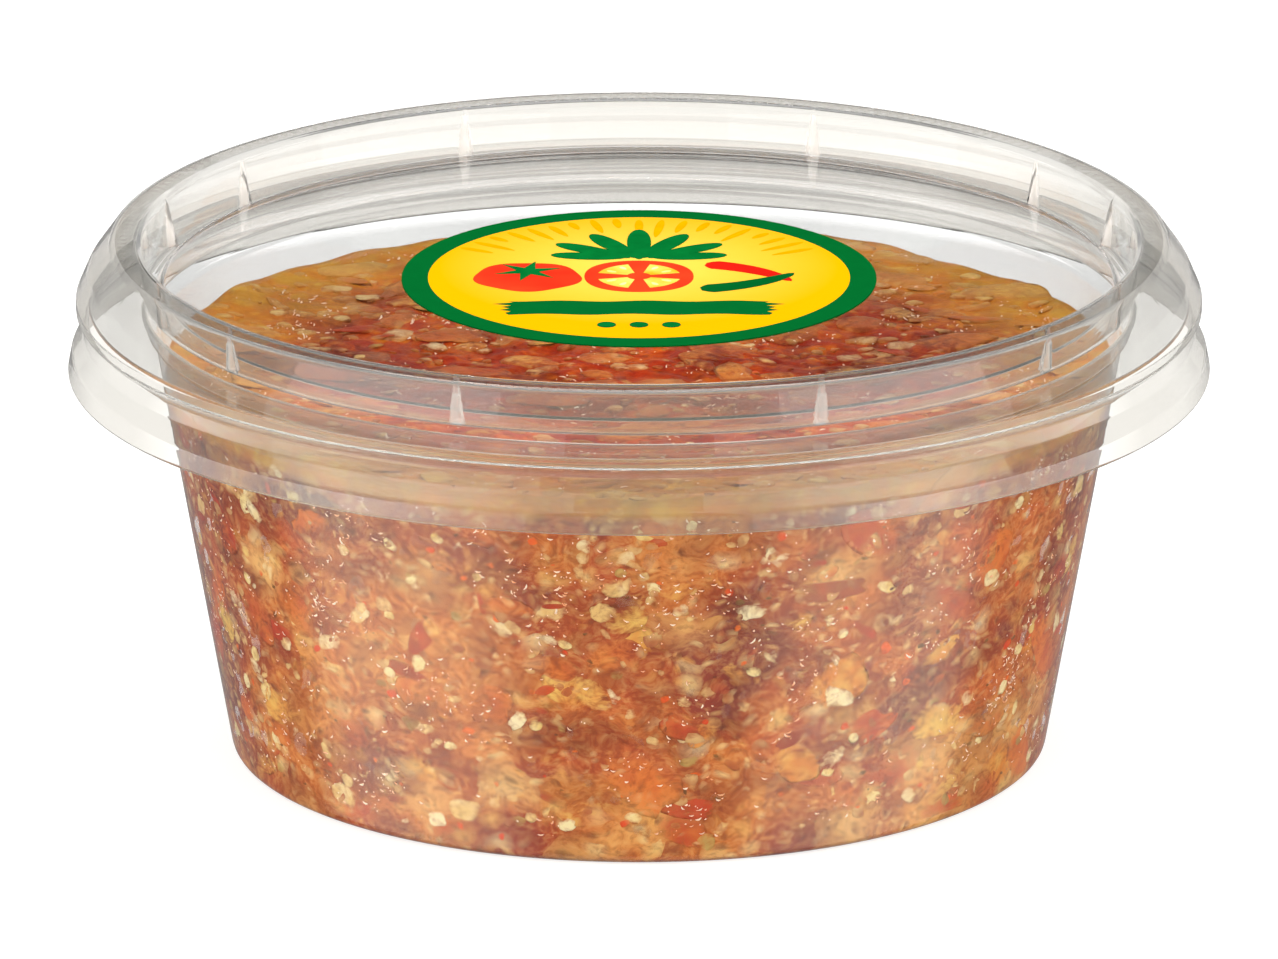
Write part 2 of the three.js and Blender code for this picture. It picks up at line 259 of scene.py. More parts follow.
def mesh_piece(name, corners, faces, slot, materials, replaces, worn=None):
    """A smooth mesh of triangles that stands for the CAD nodes named. Worn says each face's material."""
    mesh = bpy.data.meshes.new(name)
    mesh.vertices.add(len(corners))
    mesh.vertices.foreach_set("co", np.ascontiguousarray(corners, np.float32).ravel())
    mesh.loops.add(faces.size)
    mesh.loops.foreach_set("vertex_index", np.ascontiguousarray(faces, np.int32).ravel())
    mesh.polygons.add(len(faces))
    mesh.polygons.foreach_set("loop_start", np.arange(0, faces.size, 3, dtype=np.int32))
    if worn is not None:
        mesh.polygons.foreach_set("material_index", np.ascontiguousarray(worn, np.int32))
    mesh.update(calc_edges=True)
    mesh.shade_smooth()
    return place_piece(name, mesh, materials, replaces)


def place_piece(name, mesh, materials, replaces=()):
    """Links a mesh, gives it its materials and fixes it to the tub."""
    for material in materials:
        mesh.materials.append(material)
    piece = bpy.data.objects.new(name, mesh)
    bpy.context.scene.collection.objects.link(piece)
    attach(piece, BODY)
    if replaces:
        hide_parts(*replaces)
    return piece


def corner(radius, height, fillet=0.0):
    """One corner of a sheet's section, and how far it is rounded."""
    return Vector((radius, height)), fillet


def moved_sideways(corners, thickness):
    """The corners moved by a sheet's thickness to the left of the way they run, or right if it is below 0."""
    moved = []
    for i, (at, fillet) in enumerate(corners):
        before = (at - corners[i - 1][0]).normalized() if i else None
        after = (corners[i + 1][0] - at).normalized() if i + 1 < len(corners) else None
        first, last = before or after, after or before
        left = Vector((-first.y, first.x))
        mitre = (left + Vector((-last.y, last.x))).normalized()
        turn = math.copysign(1.0, first.cross(last)) if fillet else 0.0
        rounding = max(fillet - turn * thickness, 0.3 * fillet)
        moved.append((at + mitre * (thickness / mitre.dot(left)), rounding))
    return moved


def rounded_line(corners):
    """The corners as a line of points, the rounded ones drawn as curves, held straight up to each curve."""
    line = []
    for i, (at, fillet) in enumerate(corners):
        if not fillet:
            line.append(at)
            continue
        back, ahead = corners[i - 1][0] - at, corners[i + 1][0] - at
        cut = min(fillet / math.tan(back.angle(ahead) / 2), 0.47 * back.length, 0.47 * ahead.length)
        start, end = at + back.normalized() * cut, at + ahead.normalized() * cut
        steps = 3 + round(fillet / (0.5 * MM))
        line.append(start + back.normalized() * min(0.1 * MM, 0.025 * back.length))
        for step in range(steps + 1):
            t = step / steps
            line.append(start * (1 - t) ** 2 + at * 2 * t * (1 - t) + end * t * t)
        line.append(end + ahead.normalized() * min(0.1 * MM, 0.025 * ahead.length))
    return line


def sheet_section(out, back):
    """A sheet's section: out along one face's corners, round the free edge, and back along the other's."""
    out, back = rounded_line(out), rounded_line(back)
    ahead = (out[-1] - out[-2]).normalized()
    side = (back[-1] - out[-1]) / 2
    middle = out[-1] + side - ahead * side.length
    turns = np.linspace(0, math.pi, 7)
    edge = [middle - side * math.cos(t) + ahead * (side.length * math.sin(t)) for t in turns]
    held = ahead * (side.length + 0.08 * MM)
    return out[:-1] + [out[-1] - held] + edge + [back[-1] - held] + back[-2::-1]


def revolved(section, angles, shape=None):
    """Corners and faces of a section that starts and ends on the axis, turned round it."""
    radius = np.array([point.x for point in section[1:-1]])[:, None] + 0 * angles
    height = np.array([point.y for point in section[1:-1]])[:, None] + 0 * angles
    if shape:
        radius = shape(radius, height, angles)
    rings = np.stack([radius * np.sin(angles), -radius * np.cos(angles), height], axis=-1)
    rows, columns = radius.shape
    poles = [[0, 0, section[0].y], [0, 0, section[-1].y]]
    corners = np.vstack([rings.reshape(-1, 3), poles])
    index = np.arange(rows * columns).reshape(rows, columns)
    beside = np.roll(index, -1, axis=1)
    quads = np.stack([index[:-1], beside[:-1], beside[1:], index[1:]], axis=-1).reshape(-1, 4)
    start, end = rows * columns, rows * columns + 1
    first = np.stack([np.full(columns, start), beside[0], index[0]], axis=-1)
    last = np.stack([np.full(columns, end), index[-1], beside[-1]], axis=-1)
    return corners, np.vstack([quads[:, [0, 1, 2]], quads[:, [0, 2, 3]], first, last])


def full_circle(steps, extra=()):
    """Angles round the axis, with extra ones where a fine detail stands."""
    even = np.arange(steps) * (2 * math.pi / steps)
    return np.unique(np.round(np.concatenate([even, np.asarray(extra, float) % (2 * math.pi)]), 7))


def waves(points, seed, wavelength, number=20):
    """A smooth random field of about -1 to 1 whose lumps are about half a wavelength across."""
    draw = np.random.default_rng(seed)
    ways = draw.normal(size=(number, 3))
    ways /= np.linalg.norm(ways, axis=1, keepdims=True)
    lengths = wavelength * draw.uniform(0.65, 1.6, (number, 1))
    phases = draw.uniform(0, 2 * math.pi, number)
    return np.sin(points @ (ways * 2 * math.pi / lengths).T + phases).sum(1) / math.sqrt(2 * number)


# Making materials

def node(tree, kind, inputs=None, **settings):
    """Adds a shader node, sets it up and feeds its inputs with values or with other nodes' outputs."""
    made = tree.nodes.new("ShaderNode" + kind)
    for name, value in settings.items():
        setattr(made, name, value)
    for name, value in (inputs or {}).items():
        if isinstance(value, bpy.types.NodeSocket):
            tree.links.new(value, made.inputs[name])
        else:
            made.inputs[name].default_value = value
    return made


def maths(tree, operation, *values):
    """What a maths node gives."""
    return node(tree, "Math", dict(enumerate(values)), operation=operation).outputs[0]


def vector(tree, operation, *values):
    """What a vector maths node gives: a number for a length, distance or dot product, or else a vector."""
    made = node(tree, "VectorMath", dict(enumerate(values)), operation=operation)
    return made.outputs["Value" if operation in ("LENGTH", "DISTANCE", "DOT_PRODUCT") else "Vector"]


def product(tree, *factors):
    """Values multiplied."""
    value = factors[0]
    for factor in factors[1:]:
        value = maths(tree, "MULTIPLY", value, factor)
    return value


def split(tree, where):
    """X, Y and Z of a place or a direction."""
    return node(tree, "SeparateXYZ", {"Vector": where}).outputs[:]


def from_axis(tree, x, y):
    """The way from the tub's axis to a point, seen from above, and its length."""
    flat = node(tree, "CombineXYZ", {"X": x, "Y": y}).outputs[0]
    return flat, vector(tree, "LENGTH", flat)


def ramp(tree, factor, stops, interpolation="EASE"):
    """A colour ramp through (place, colour) stops."""
    made = node(tree, "ValToRGB", {"Fac": factor})
    made.color_ramp.interpolation = interpolation
    while len(made.color_ramp.elements) < len(stops):
        made.color_ramp.elements.new(0.5)
    for element, (place, shade) in zip(made.color_ramp.elements, stops):
        element.position = place
        element.color = (*shade, 1.0)
    return made.outputs["Color"]


def noise(tree, where, scale, detail=2.0, roughness=0.5, distortion=0.0, out="Fac"):
    """A noise texture's value, or its colour."""
    return node(tree, "TexNoise", {
        "Vector": where, "Scale": scale, "Detail": detail, "Roughness": roughness, "Distortion": distortion,
    }).outputs[out]


def blend(tree, factor, first, second, mode="MIX"):
    """Two colours mixed."""
    ends = [shade if isinstance(shade, bpy.types.NodeSocket) else (*shade, 1.0) for shade in (first, second)]
    made = node(tree, "Mix", {0: factor, 6: ends[0], 7: ends[1]}, data_type="RGBA", blend_type=mode)
    return made.outputs[2]


def remap(tree, value, low, high, out_low=0.0, out_high=1.0):
    """A value carried from one range to another, held inside it."""
    values = {"Value": value, "From Min": low, "From Max": high, "To Min": out_low, "To Max": out_high}
    return node(tree, "MapRange", values).outputs["Result"]


def cells(tree, where, scale):
    """Random cells: how far each point is from its cell's middle, and two random numbers of the cell."""
    made = node(tree, "TexVoronoi", {"Vector": where, "Scale": scale})
    picks = node(tree, "SeparateColor", {"Color": made.outputs["Color"]})
    return made.outputs["Distance"], picks.outputs["Red"], picks.outputs["Blue"]


def times(shade, factor):
    """A colour made darker or brighter."""
    return tuple(factor * part for part in shade)


def new_material(name):
    """An empty node material, its tree, and each point's place in it."""
    material = bpy.data.materials.new(name)
    material.use_nodes = True
    tree = material.node_tree
    tree.nodes.clear()
    return material, tree, node(tree, "TexCoord").outputs["Object"]


def finished(tree, values):
    """Ends a material in one shader with these values."""
    shader = node(tree, "BsdfPrincipled", values)
    node(tree, "OutputMaterial", {"Surface": shader.outputs[0]})


def clear_plastic(name, tint, index, edge_shade_tint=None, edge=0.0, clarity=1.0, ripple=0.1):
    """Thin clear sheet with the faint waves of forming, greyer beyond an edge as painted shade, or a little
    milky, as a painted veil, where it is not wholly clear. Lamps shine straight through it."""
    material, tree, where = new_material(name)
    wavy = noise(tree, where, 60.0, 1.0, 0.4)
    bump = node(tree, "Bump", {"Strength": ripple, "Distance": 0.4 * MM, "Height": wavy})
    x, y, z = split(tree, where)
    flat, aside = from_axis(tree, x, y)
    own = blend(tree, remap(tree, aside, edge, edge + 1.5 * MM), tint, edge_shade_tint or tint)
    darker = blend(tree, 1.0, own, (0.94, 0.94, 0.94), "MULTIPLY")
    plastic = node(tree, "BsdfPrincipled", {
        "Base Color": blend(tree, remap(tree, wavy, 0.3, 0.7, 0.0, 0.5), own, darker), "Roughness": 0.0,
        "IOR": index, "Transmission Weight": clarity, "Normal": bump.outputs["Normal"],
    })
    passing = node(tree, "BsdfTransparent", {"Color": (0.96, 0.96, 0.96, 1.0)})
    to_lamp = node(tree, "LightPath").outputs["Is Shadow Ray"]
    mixed = node(tree, "MixShader", {0: to_lamp, 1: plastic.outputs[0], 2: passing.outputs[0]})
    node(tree, "OutputMaterial", {"Surface": mixed.outputs[0]})
    return material


# Where in the random mix the tub's origin lies
MIX_START = (-0.053, 0.067, -0.023)
# How far the mix is swirled about
SWIRL = 2.2 * MM
# The soft morsels sunk in the pulp, from large to small: how many cells a metre holds, how near to a cell's
# middle its morsel shows most and how strongly, which cells hold one, and the colours that they pick from
MORSELS = (
    (150.0, 0.15, 0.8, (0.3, 0.45), (
        (0.25, (216, 104, 42)), (0.45, (236, 164, 76)), (0.62, (244, 196, 122)), (0.8, (196, 66, 30)),
        (1.0, (150, 56, 38)),
    )),
    (400.0, 0.1, 0.75, (0.5, 0.65), (
        (0.2, (142, 70, 40)), (0.4, (224, 156, 72)), (0.7, (244, 206, 124)), (1.0, (252, 232, 176)),
    )),
    (950.0, 0.1, 0.6, (0.35, 0.55), (
        (0.12, (100, 60, 32)), (0.3, (180, 80, 30)), (0.55, (240, 172, 84)), (0.9, (252, 226, 158)),
    )),
)


def pulp_colour(tree, where, filling):
    """The pulp's colour and grain: blotchy zones from mauve to straw, soft morsels sunk in them, and painted
    shade.
    """
    where = vector(tree, "ADD", where, MIX_START)
    swirl = noise(tree, where, 380.0, 1.0, out="Color")
    bent = vector(tree, "MULTIPLY_ADD", swirl, (SWIRL, SWIRL, SWIRL), where)
    flat = vector(tree, "MULTIPLY", bent, (1.0, 1.0, 1.35))
    shade = ramp(tree, noise(tree, where, 85.0, 2.0, 0.5, 0.4), [
        (0.36, filling.mauve), (0.46, filling.rust), (0.58, filling.amber), (0.74, filling.straw),
    ])
    for scale, core, strength, picked, stops in MORSELS:
        far, tone, pick = cells(tree, flat, scale)
        morsel = ramp(tree, tone, [(place, linear(*rgb)) for place, rgb in stops])
        there = product(tree, remap(tree, far, 0.6, core, 0.0, strength), remap(tree, pick, *picked))
        shade = blend(tree, there, shade, morsel)
    grain = noise(tree, flat, 1500.0, 2.0, 0.6)
    shade = blend(tree, remap(tree, grain, 0.45, 0.8, 0.0, 0.4), shade, linear(248, 198, 120))
    shade = blend(tree, remap(tree, grain, 0.5, 0.22, 0.0, 0.5), shade, linear(120, 52, 26))
    # Darker random patches: partly pulp that lies deeper, partly painted shade standing in for the shade
    # between pieces.
    depth = remap(tree, noise(tree, flat, 240.0, 1.0), 0.58, 0.35, 0.0, 0.45)
    return blend(tree, depth, shade, linear(150, 60, 30), "MULTIPLY"), grain


# How far under the level the pulp starts to be soaked in the juice on top, and how far it is wholly so
SOAK_DEPTHS = (1.4 * MM, 0.6 * MM)
# How far from the axis the juice turns from red-brown to gold, and how far painted light brightens the pulp
# by the wall
JUICE_TURNS = (22 * MM, 34 * MM)
PAINTED_BRIM_LIGHT = (25 * MM, 37 * MM)


def juicy(tree, where, shade, grain, filling, soak):
    """Wet flesh, smoothed by the juice round it. The juice that the open top is soaked in deepens its colour,
    red-brown in the middle and golden by the wall, partly its own and partly painted shade and light."""
    x, y, z = split(tree, where)
    flat, aside = from_axis(tree, x, y)
    soaked = remap(tree, z, *(filling.level - depth for depth in SOAK_DEPTHS))
    clear = remap(tree, noise(tree, where, 430.0), 0.4, 0.6)
    middle = blend(tree, clear, filling.dark_juice, filling.juice)
    rim = blend(tree, clear, filling.dark_gold, filling.gold)
    # Darker and redder in the middle, near the label, and brighter by the wall: partly the juice's own
    # colour, partly painted shade and light.
    juice = blend(tree, remap(tree, aside, *JUICE_TURNS), middle, rim)
    # Painted light: the open top's pulp is made paler and brighter by the wall.
    paler = blend(tree, remap(tree, aside, *PAINTED_BRIM_LIGHT, 0.0, 0.5), shade, filling.brim)
    tinted = blend(tree, soaked, shade, blend(tree, soak, paler, juice, "MULTIPLY"))
    lean = remap(tree, soaked, 0.0, 1.0, 0.62, 0.0)
    surface = node(tree, "NewGeometry").outputs["Normal"]
    outwards = vector(tree, "NORMALIZE", flat)
    mixed = node(tree, "Mix", {0: lean, 4: surface, 5: outwards}, data_type="VECTOR").outputs[1]
    bump = node(tree, "Bump", {
        "Strength": 0.5, "Distance": 0.13 * MM, "Height": grain, "Normal": vector(tree, "NORMALIZE", mixed),
    })
    finished(tree, {
        "Base Color": tinted, "Roughness": 0.35, "IOR": 1.28, "Coat Weight": 0.15, "Coat Roughness": 0.1,
        "Normal": bump.outputs["Normal"], "Coat Normal": bump.outputs["Normal"],
    })


def pulp_material(filling):
    """The pulp on its own."""
    material, tree, where = new_material("salsa_pulp")
    shade, grain = pulp_colour(tree, where, filling)
    juicy(tree, where, shade, grain, filling, 1.0)
    return material


def piece_material(name, kind, filling):
    """A kind of chopped piece, whose edges fade into the pulp that lies over them."""
    material, tree, where = new_material(name + "_flesh")
    pulp, grain = pulp_colour(tree, where, filling)
    tone = node(tree, "Attribute", attribute_name="tone").outputs["Fac"]
    bared = node(tree, "Attribute", attribute_name="bared").outputs["Fac"]
    mottled = maths(tree, "ADD", tone, remap(tree, noise(tree, where, 620.0, 1.0), 0.3, 0.7, -0.4, 0.4))
    own = ramp(tree, mottled, [(0.0, linear(*kind.pale)), (1.0, linear(*kind.deep))], "LINEAR")
    strength = maths(tree, "ADD", bared, remap(tree, grain, 0.3, 0.7, -0.4, 0.25))
    shade = blend(tree, remap(tree, strength, 0.08, 1.0, 0.0, kind.clear), pulp, own)
    juicy(tree, where, shade, grain, filling, 0.25)
    return material


def glint_material():
    """Tiny bubbles and beads of juice on the wall, painted as glints that glow faintly by themselves."""
    material, tree, where = new_material("painted_juice_glints")
    stops = [(0.3, linear(232, 168, 120)), (0.65, linear(255, 234, 210))]
    shade = ramp(tree, noise(tree, where, 900.0, 1.0), stops)
    # Painted glints: a pale warm colour and a faint glow of their own, beyond what the lamps give.
    finished(tree, {
        "Base Color": shade, "Roughness": 0.4, "IOR": 1.2, "Emission Color": shade, "Emission Strength": 0.3,
    })
    return material


def varnished(tree, shade):
    """Ends a material as print under matt varnish."""
    finished(tree, {"Base Color": shade, "Roughness": 0.5, "Specular IOR Level": 0.0})


def printed(name, shades, scale, spread):
    """Print in one ink, with a faint unevenness between two shades."""
    material, tree, where = new_material(name)
    factor = remap(tree, noise(tree, where, scale, 3.0), 0.5 - spread / 2, 0.5 + spread / 2)
    varnished(tree, blend(tree, factor, *shades))
    return material


def label_print(label):
    """The label's face: a green rim round a yellow field that glows in the middle and darkens to the top."""
    material, tree, where = new_material("label_field")
    x, y, z = split(tree, where)
    flat, reach = from_axis(tree, x, y)
    field_edge = label.radius - label.rim
    from_glow = vector(tree, "DISTANCE", flat, (0, label.glow_rise, 0))
    glow = remap(tree, from_glow, 0.0, field_edge * 0.95, 1.0, 0.0)
    rise = remap(tree, y, -field_edge, field_edge)
    base = ramp(tree, rise, [(0.0, label.yellow), (0.55, label.yellow), (1.0, label.orange)])
    lit = blend(tree, glow, base, label.pale)
    paper = blend(tree, remap(tree, noise(tree, where, 900.0), 0.3, 0.7, 0.0, 0.06), lit, label.orange)
    rim_shade = blend(tree, noise(tree, where, 700.0), label.green, times(label.green, 0.86))
    varnished(tree, blend(tree, maths(tree, "LESS_THAN", reach, field_edge), rim_shade, paper))
    return material


# Cup and lid

def wall_inside(cup, height):
    """Radius of the cup's inner wall at a height."""
    return cup.foot + cup.draft * height - cup.sheet * math.hypot(1, cup.draft)


def floor_inside(cup):
    """Height of the cup's floor inside."""
    return cup.base_lift + cup.sheet


def cup_corners(cup):
    """The corners of the cup's outside, from the middle of its base up to the flange."""
    wall_top = cup.foot + cup.draft * cup.step_height
    mouth = wall_top + cup.step_out
    ring = cup.foot - cup.foot_ring
    underside = cup.mouth - cup.sheet
    return [
        corner(0, cup.base_lift),
        corner(ring - cup.base_lift, cup.base_lift, 0.6 * MM),
        corner(ring, 0, 0.35 * MM),
        corner(cup.foot, 0, 0.9 * MM),
        corner(wall_top, cup.step_height, 0.8 * MM),
        corner(mouth, cup.step_height + cup.step_rise, 0.5 * MM),
        corner(mouth + 0.2 * MM, underside, 0.5 * MM),
        corner(cup.flange, underside),
    ]


def lid_section(lid):
    """The lid's section: out along its underside to the skirt's edge, and back over its top."""
    channel = lid.panel - lid.channel_depth
    channel_inner = lid.panel_radius + 0.3 * MM
    channel_outer = channel_inner + lid.channel_width
    width, rise = lid.ridge_inner - channel_outer, lid.top - channel
    corners = [
        corner(0, lid.panel),
        corner(lid.panel_radius, lid.panel, 0.3 * MM),
        corner(channel_inner, channel, 0.3 * MM),
        corner(channel_outer, channel, 0.35 * MM),
        *[corner(channel_outer + width * t, channel + rise * t) for t in np.linspace(0.22, 0.76, 8)],
        corner(lid.ridge_inner, lid.top, 0.7 * MM),
        corner(lid.ridge_outer, lid.top, 0.75 * MM),
        corner(lid.shoulder, lid.shoulder_height, 3.0 * MM),
        corner(lid.bead, lid.bead_top, 0.3 * MM),
        corner(lid.bead, lid.bead_bottom, 0.22 * MM),
        corner(lid.neck, lid.neck_height, 0.4 * MM),
        corner(lid.neck + 0.35 * MM, lid.flare_top, 0.9 * MM),
        corner(lid.skirt - 0.3 * MM, lid.flare_bottom, 1.2 * MM),
        corner(lid.skirt, lid.skirt_edge),
    ]
    return sheet_section(moved_sideways(corners, -lid.sheet), corners)


RIB_ANGLES = np.radians([21, 54, 73, 107, 126, 159, 201, 234, 253, 287, 306, 339])
RIB_WIDTH = 1.3 * MM
RIB_DEPTH = 0.75 * MM
RIB_TAPER = 0.75


def from_rib(angles):
    """How far each angle is from the nearest rib."""
    apart = np.asarray(angles)[None] - RIB_ANGLES.reshape(-1, *[1] * np.ndim(angles))
    return np.abs((apart + math.pi) % (2 * math.pi) - math.pi).min(0)


def rib_foot(lid):
    """Height that the stacking ribs start at, just over the channel."""
    return lid.panel - lid.channel_depth + 0.1 * MM


def ribbed(lid):
    """Moves the ridge's inner wall in at each stacking rib: broad at the foot, pointed at the top."""
    foot, tip = rib_foot(lid), lid.top - 0.5 * MM
    wall_from = (lid.panel_radius + lid.channel_width + lid.ridge_inner) / 2 - 0.25 * MM
    wall_to = lid.ridge_inner + 0.1 * MM

    def shape(radius, height, angles):
        rise = np.clip((height - foot) / (tip - foot), 0, 1)
        inner_face = (radius > wall_from) & (radius < wall_to) & (height > foot)
        half_width = (RIB_WIDTH / 2) * (1 - RIB_TAPER * rise)
        across = np.clip(from_rib(angles) * lid.ridge_inner / half_width, 0, 1)
        bulge = 0.5 + 0.5 * np.cos(math.pi * across)
        return radius - inner_face * bulge * RIB_DEPTH * (1 - 0.9 * rise)

    return shape


def rib_columns():
    """Extra angles that give each rib its crisp sides."""
    offsets = np.linspace(-0.6, 0.6, 13) * RIB_WIDTH / (40 * MM)
    return (RIB_ANGLES[:, None] + offsets).ravel()


class TUB_OT_cup(Operator):
    """Make the clear cup"""

    bl_idname = "tub.cup"
    bl_label = "Cup"

    def execute(self, context):
        cup = context.scene.tub_cup
        outside = cup_corners(cup)
        section = sheet_section(outside, moved_sideways(outside, cup.sheet))
        plastic = clear_plastic("cup_plastic", cup.tint, 1.34, ripple=0.22)
        mesh_piece("clear_cup", *revolved(section, full_circle(240)), "clear_cup", [plastic], ["cup"])
        return {"FINISHED"}


class TUB_OT_lid(Operator):
    """Make the clear press-on lid"""

    bl_idname = "tub.lid"
    bl_label = "Lid"

    def execute(self, context):
        lid = context.scene.tub_lid
        corners, faces = revolved(lid_section(lid), full_circle(240, rib_columns()), ribbed(lid))
        plastics = [
            # Greyer edge, slope and skirt: painted shade. The skirt's and slope's milkiness: painted veils of
            # reflection.
            clear_plastic("lid_plastic", lid.tint, 1.4, lid.edge_shade_tint, lid.panel_radius),
            clear_plastic("skirt_plastic", lid.skirt_shade_tint, 1.4, clarity=0.96),
            # Painted reflection: the ribs' milky whiteness.
            clear_plastic("rib_plastic", lid.rib_sheen_tint, 1.4, clarity=0.72),
            clear_plastic("slope_plastic", lid.slope_shade_tint, 1.4, clarity=0.975),
        ]
        worn = self.worn(lid, corners[faces].mean(1))
        mesh_piece("clear_lid", corners, faces, "clear_lid", plastics, ["lid"], worn)
        return {"FINISHED"}

    def worn(self, lid, middles):
        """Which plastic each face shows: 0 the panel's, 1 the skirt's, 2 the ribs', 3 the outer slope's."""
        x, y, z = middles.T
        radius = np.hypot(x, y)
        apart = from_rib(np.arctan2(x, -y)) * radius
        foot = rib_foot(lid)
        rise = np.clip((z - foot) / (lid.top - foot), 0, 1)
        inner_wall = (radius > lid.panel_radius + 0.8 * MM) & (radius < lid.ridge_inner + 0.1 * MM)
        on_rib = apart < RIB_WIDTH / 2 * (1 - RIB_TAPER * rise)
        rib = inner_wall & on_rib & (z > foot) & (z < lid.top - 0.6 * MM)
        slope = radius > (lid.ridge_inner + lid.ridge_outer) / 2
        return np.select([rib, z < lid.bead_top, slope], [2, 1, 3], 0)


# Label. Its outlines are lists of (x, y) points in millimetres.

# How deep a printed plate starts in the paper, how much each level adds, and the steps within one level
PLATE_ROOT = 0.004 * MM
PLATE_LAYER = 0.012 * MM
PLATE_STEP = 0.0006 * MM


def from_least(face):
    """A face's corners as their numbers, starting with the least."""
    numbers = [vertex.index for vertex in face.verts]
    least = numbers.index(min(numbers))
    return numbers[least:] + numbers[:least]


def decal(name, outlines, face, level, material):
    """Flat printed shapes as thin closed plates on the label's face, a higher level over a lower one."""
    bm = bmesh.new()
    for i, outline in enumerate(outlines):
        lift = PLATE_LAYER * level + PLATE_STEP * (i % 9)
        face_below = bm.faces.new([bm.verts.new((x * MM, y * MM, face - PLATE_ROOT)) for x, y in outline])
        raised = bmesh.ops.extrude_face_region(bm, geom=[face_below])
        up = [item for item in raised["geom"] if isinstance(item, bmesh.types.BMVert)]
        bmesh.ops.translate(bm, verts=up, vec=(0, 0, lift + PLATE_ROOT))
    bmesh.ops.recalc_face_normals(bm, faces=bm.faces)
    bmesh.ops.triangulate(bm, faces=bm.faces)
    bm.verts.index_update()
    mesh = bpy.data.meshes.new(name)
    mesh.from_pydata([vertex.co.copy() for vertex in bm.verts], [], sorted(map(from_least, bm.faces)))
    bm.free()
    return place_piece(name, mesh, [material])


def oval_leaf(x, y, length, width, turn):
    """Outline of a pointed leaf that starts at (x, y)."""
    points = []
    for t in np.linspace(0, 2 * math.pi, 28, endpoint=False):
        along = length * (1 - math.cos(t)) / 2
        across = width / 2 * math.sin(t) * (0.6 + 0.4 * abs(math.sin(t / 2)))
        points.append((x + along * math.cos(turn) - across * math.sin(turn),
                       y + along * math.sin(turn) + across * math.cos(turn)))
    return points


def chilli(x, y, length, width, turn, bend):
    """Outline of a curved chilli, blunt at its stalk and pointed at its tip."""
    spine = np.linspace(0, 1, 22)
    half = width / 2 * np.sqrt(np.clip(1 - spine ** 1.7, 0, 1)) * np.minimum(1, spine * 9 + 0.35)
    angle = turn + bend * spine
    step = length / (len(spine) - 1)
    px = x + np.concatenate([[0], np.cumsum(np.cos(angle[:-1]) * step)])
    py = y + np.concatenate([[0], np.cumsum(np.sin(angle[:-1]) * step)])
    left = list(zip(px - half * np.sin(angle), py + half * np.cos(angle)))
    right = list(zip(px + half * np.sin(angle), py - half * np.cos(angle)))
    return left + right[-2::-1]


def round_outline(x, y, reach, angles, squash=1.0):
    """Outline round (x, y) that reaches so far at each angle."""
    return [(x + r * math.cos(a), y + squash * r * math.sin(a)) for r, a in zip(reach, angles)]


def lobed(x, y, radius, lobes, depth, squash=0.92, turn=0.0):
    """Outline of a round fruit with shallow lobes."""
    angles = np.linspace(0, 2 * math.pi, 90, endpoint=False)
    reach = radius * (1 - depth * np.cos(lobes * (angles - turn)) ** 2)
    return round_outline(x, y, reach, angles, squash)


def star(x, y, outer, inner, points, turn):
    """Outline of a calyx with pointed sepals."""
    angles = np.linspace(0, 2 * math.pi, 2 * points, endpoint=False) + turn
    return round_outline(x, y, np.where(np.arange(2 * points) % 2 == 0, outer, inner), angles)


def chamber(x, y, inner, outer, middle, half_angle):
    """Outline of one seed chamber of a sliced tomato, between two radii."""
    far = np.linspace(middle - half_angle, middle + half_angle, 12)
    near = middle + np.linspace(half_angle * 0.8, -half_angle * 0.8, 5)
    return round_outline(x, y, [outer] * 12, far) + round_outline(x, y, [inner] * 5, near)


def brushed_band(x, y, length, width, seed):
    """Outline of one straight stroke of a broad brush, ragged at both ends."""
    draw = np.random.default_rng(seed)
    along = np.linspace(-length / 2, length / 2, 30)
    wobble = 0.04 * width * np.sin(along * 0.9 + 1.0)
    upper = [(x + a, y + width / 2 + w) for a, w in zip(along, wobble)]
    lower = [(x + a, y - width / 2 + w) for a, w in zip(along[::-1], wobble)]
    steps = np.linspace(0.5, -0.5, 10)[1:-1]
    jag = draw.uniform(0.2, 1.5, len(steps)) * np.where(np.arange(len(steps)) % 2, 1, -0.3)
    right = [(x + length / 2 + j, y + width * s) for s, j in zip(steps, jag)]
    left = [(x - length / 2 - j, y - width * s) for s, j in zip(steps, jag[::-1])]
    return upper + right + lower + left


